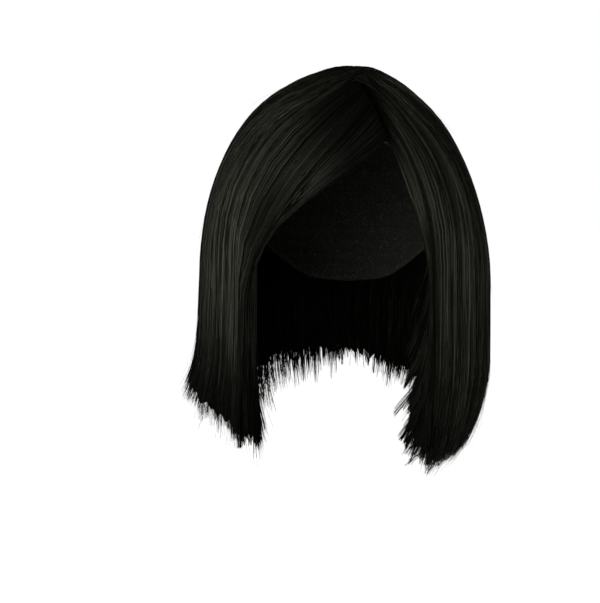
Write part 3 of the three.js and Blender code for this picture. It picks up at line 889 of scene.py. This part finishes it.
def cap_net():
    """The cap as a fine, smooth wall from the crown to its rim."""
    azimuth = np.radians(np.linspace(0, 360, CAP_COLUMNS, endpoint=False))[:, None]
    turn = np.degrees(np.minimum(azimuth, 2 * math.pi - azimuth))
    rim = smooth_table(CAP_RIM_AZIMUTH, CAP_RIM_LEVEL)(turn)
    sweep = np.arccos((HEAD[2] + rim) / HEAD[2]) * np.linspace(CAP_TOP, 1, CAP_ROWS)[None, :]

    def surface(clearance):
        size = HEAD + clearance
        x = size[0] * np.sin(sweep) * np.sin(azimuth)
        y = -size[1] * np.sin(sweep) * np.cos(azimuth)
        return np.stack([x, y, size[2] * np.cos(sweep) - HEAD[2]], axis=-1)

    walls = np.stack([surface(CAP_WALL), surface(0)]).reshape(-1, 3)
    vertices = np.concatenate([walls, [[0, 0, CAP_WALL], [0, 0, 0]]])
    index = np.arange(len(walls)).reshape(2, CAP_COLUMNS, CAP_ROWS)
    outside, inside = index
    outside_next, inside_next = np.roll(index, -1, 1)
    quads = np.concatenate([
        faces(outside[:, :-1], outside[:, 1:], outside_next[:, 1:], outside_next[:, :-1]),
        faces(inside[:, :-1], inside_next[:, :-1], inside_next[:, 1:], inside[:, 1:]),
        faces(outside[:, -1], inside[:, -1], inside_next[:, -1], outside_next[:, -1]),
    ])
    crown = np.full(CAP_COLUMNS, len(walls))
    triangles = np.concatenate([
        faces(crown, outside[:, 0], outside_next[:, 0]),
        faces(crown + 1, inside_next[:, 0], inside[:, 0]),
    ])
    parts = MeshParts()
    parts.add(vertices, quads, triangles, CAP_TONE)
    return parts.build("cap_net")


def new_material(name):
    material = bpy.data.materials.new(name)
    material.use_nodes = True
    nodes = material.node_tree.nodes
    return material, nodes, material.node_tree.links, nodes["Principled BSDF"]


def colour_ramp(nodes, links, value, stops):
    """The output of a colour ramp for a value."""
    ramp = nodes.new("ShaderNodeValToRGB")
    elements = ramp.color_ramp.elements
    while len(elements) < len(stops):
        elements.new(0.5)
    for element, (position, colour) in zip(elements, stops):
        element.position = position
        element.color = (*colour, 1)
    links.new(value, ramp.inputs["Fac"])
    return ramp.outputs["Color"]


def map_range(nodes, links, value, low, high, over=(0.0, 1.0), interpolation="LINEAR"):
    """The output of a node that goes from low to high while a value goes over a range."""
    node = nodes.new("ShaderNodeMapRange")
    node.interpolation_type = interpolation
    for socket, number in zip(("From Min", "From Max", "To Min", "To Max"), (*over, low, high)):
        node.inputs[socket].default_value = number
    links.new(value, node.inputs["Value"])
    return node.outputs["Result"]


def add_bump(nodes, links, shader, height, strength, distance):
    bump = nodes.new("ShaderNodeBump")
    bump.inputs["Strength"].default_value = strength
    bump.inputs["Distance"].default_value = distance
    links.new(height, bump.inputs["Height"])
    links.new(bump.outputs["Normal"], shader.inputs["Normal"])


def hair_material():
    """Near-black hair: each strand has its own tone, darkened by painted shade, and fine streaks; dark
    places are dull.
    """
    material, nodes, links, shader = new_material("hair")
    attribute = nodes.new("ShaderNodeAttribute")
    attribute.attribute_name = "tone"
    tone = attribute.outputs["Fac"]
    links.new(colour_ramp(nodes, links, tone, HAIR_COLOURS), shader.inputs["Base Color"])
    links.new(colour_ramp(nodes, links, tone, GLOSS_COLOURS), shader.inputs["Specular Tint"])
    where = nodes.new("ShaderNodeTexCoord")
    stretch = nodes.new("ShaderNodeMapping")
    stretch.inputs["Scale"].default_value = (1400, 1400, 60)
    streaks = nodes.new("ShaderNodeTexNoise")
    streaks.inputs["Scale"].default_value = 1.0
    streaks.inputs["Detail"].default_value = 3.0
    links.new(where.outputs["Object"], stretch.inputs["Vector"])
    links.new(stretch.outputs["Vector"], streaks.inputs["Vector"])
    rougher = nodes.new("ShaderNodeMath")
    rougher.operation = "MAXIMUM"
    links.new(map_range(nodes, links, streaks.outputs["Fac"], 0.2, 0.42), rougher.inputs[0])
    links.new(map_range(nodes, links, tone, 1.0, 0.2, over=(0.02, 0.6)), rougher.inputs[1])
    links.new(rougher.outputs["Value"], shader.inputs["Roughness"])
    add_bump(nodes, links, shader, streaks.outputs["Fac"], strength=0.25, distance=0.0001)
    shader.inputs["Specular IOR Level"].default_value = 0.5
    return material


def cap_material():
    """Dark knitted net: small cells with raised threads, and rows where the hair is sewn on."""
    material, nodes, links, shader = new_material("net")
    where = nodes.new("ShaderNodeTexCoord")
    cells = nodes.new("ShaderNodeTexVoronoi")
    cells.feature = "DISTANCE_TO_EDGE"
    cells.inputs["Scale"].default_value = 620
    rows = nodes.new("ShaderNodeTexWave")
    rows.bands_direction = "Z"
    rows.inputs["Scale"].default_value = 34
    rows.inputs["Distortion"].default_value = 1.2
    links.new(where.outputs["Object"], cells.inputs["Vector"])
    links.new(where.outputs["Object"], rows.inputs["Vector"])
    threads = map_range(nodes, links, cells.outputs["Distance"], 1.0, 0.0, over=(0.0, 0.12))
    links.new(colour_ramp(nodes, links, threads, NET_COLOURS), shader.inputs["Base Color"])
    height = nodes.new("ShaderNodeMath")
    height.operation = "MULTIPLY_ADD"
    height.inputs[1].default_value = 1.6
    links.new(rows.outputs["Fac"], height.inputs[0])
    links.new(threads, height.inputs[2])
    add_bump(nodes, links, shader, height.outputs["Value"], strength=0.7, distance=0.0004)
    shader.inputs["Roughness"].default_value = 0.85
    shader.inputs["Specular IOR Level"].default_value = 0.15
    return material


def floor_material():
    """A pale floor that is seen white, as in a lit studio, and throws little light up at the hair."""
    material, nodes, links, shader = new_material("pale_floor")
    noise = nodes.new("ShaderNodeTexNoise")
    noise.inputs["Scale"].default_value = 2.0
    links.new(colour_ramp(nodes, links, noise.outputs["Fac"], FLOOR_COLOURS), shader.inputs["Base Color"])
    shader.inputs["Roughness"].default_value = 0.9
    shader.inputs["Specular IOR Level"].default_value = 0.1
    path = nodes.new("ShaderNodeLightPath")
    glow = map_range(nodes, links, path.outputs["Is Camera Ray"], FLOOR_BOUNCE, FLOOR_GLOW)
    links.new(glow, shader.inputs["Emission Strength"])
    shader.inputs["Emission Color"].default_value = WHITE
    return material


def make_camera():
    azimuth = math.radians(VIEW_AZIMUTH)
    elevation = math.radians(VIEW_ELEVATION)
    back = Vector((
        math.sin(azimuth) * math.cos(elevation),
        -math.cos(azimuth) * math.cos(elevation),
        math.sin(elevation),
    ))
    right = Vector((math.cos(azimuth), math.sin(azimuth), 0))
    up = back.cross(right)
    pixel = MM_PER_PIXEL * MM
    middle = AIM + right * (PICTURE[0] / 2 - AIM_PIXEL[0]) * pixel
    middle = middle - up * (PICTURE[1] / 2 - AIM_PIXEL[1]) * pixel
    data = bpy.data.cameras.new("camera")
    data.sensor_fit = "HORIZONTAL"
    data.sensor_width = SENSOR
    data.lens = SENSOR * VIEW_DISTANCE / (PICTURE[0] * pixel)
    camera = bpy.data.objects.new("camera", data)
    place = middle + back * VIEW_DISTANCE
    camera.matrix_world = Matrix((
        (right.x, up.x, back.x, place.x),
        (right.y, up.y, back.y, place.y),
        (right.z, up.z, back.z, place.z),
        (0, 0, 0, 1),
    ))
    bpy.context.scene.collection.objects.link(camera)
    bpy.context.scene.camera = camera


def softbox(name, place, size, power):
    light = bpy.data.lights.new(name, "AREA")
    light.shape = "RECTANGLE"
    light.size, light.size_y = size
    light.spread = math.radians(BOX_SPREAD)
    light.energy = power
    light.color = LAMP_TINT
    lamp = bpy.data.objects.new(name, light)
    lamp.location = place
    lamp.rotation_euler = (LIT_POINT - Vector(place)).to_track_quat("-Z", "Y").to_euler()
    bpy.context.scene.collection.objects.link(lamp)


def make_stage():
    mesh = bpy.data.meshes.new("floor")
    reach = FLOOR_REACH
    corners = [(-reach, -reach), (reach, -reach), (reach, reach), (-reach, reach)]
    mesh.from_pydata([(x, y, FLOOR_LEVEL) for x, y in corners], [], [(0, 1, 2, 3)])
    mesh.materials.append(floor_material())
    floor = bpy.data.objects.new("floor", mesh)
    bpy.context.scene.collection.objects.link(floor)


def make_light():
    """A room that is seen white and lights the hair dimly, mostly from overhead, and the soft boxes."""
    world = bpy.data.worlds.new("studio")
    bpy.context.scene.world = world
    world.use_nodes = True
    nodes, links = world.node_tree.nodes, world.node_tree.links
    seen = nodes["Background"]
    seen.inputs["Color"].default_value = WHITE
    seen.inputs["Strength"].default_value = 1.0
    lit = nodes.new("ShaderNodeBackground")
    lit.inputs["Color"].default_value = ROOM_TINT
    where = nodes.new("ShaderNodeTexCoord")
    split = nodes.new("ShaderNodeSeparateXYZ")
    links.new(where.outputs["Generated"], split.inputs["Vector"])
    sky = map_range(nodes, links, split.outputs["Z"], *ROOM_LIGHT, ROOM_BRIGHTENS, "SMOOTHSTEP")
    links.new(sky, lit.inputs["Strength"])
    path = nodes.new("ShaderNodeLightPath")
    pick = nodes.new("ShaderNodeMixShader")
    links.new(path.outputs["Is Camera Ray"], pick.inputs["Fac"])
    links.new(lit.outputs["Background"], pick.inputs[1])
    links.new(seen.outputs["Background"], pick.inputs[2])
    links.new(pick.outputs["Shader"], nodes["World Output"].inputs["Surface"])
    for box in SOFT_BOXES:
        softbox(*box)


def finish_piece(piece, node, material):
    piece.data.materials.append(material)
    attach(piece, "root")
    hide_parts(node)


make_camera()
make_stage()
make_light()
bpy.context.scene.view_settings.view_transform = "Standard"

HAIR = hair_material()
for seed, panel_name in enumerate(PANELS, start=1):
    finish_piece(hair_panel(panel_name, seed), panel_name, HAIR)
finish_piece(nape_hair(len(PANELS) + 1), "nape", HAIR)
finish_piece(cap_net(), "cap", cap_material())
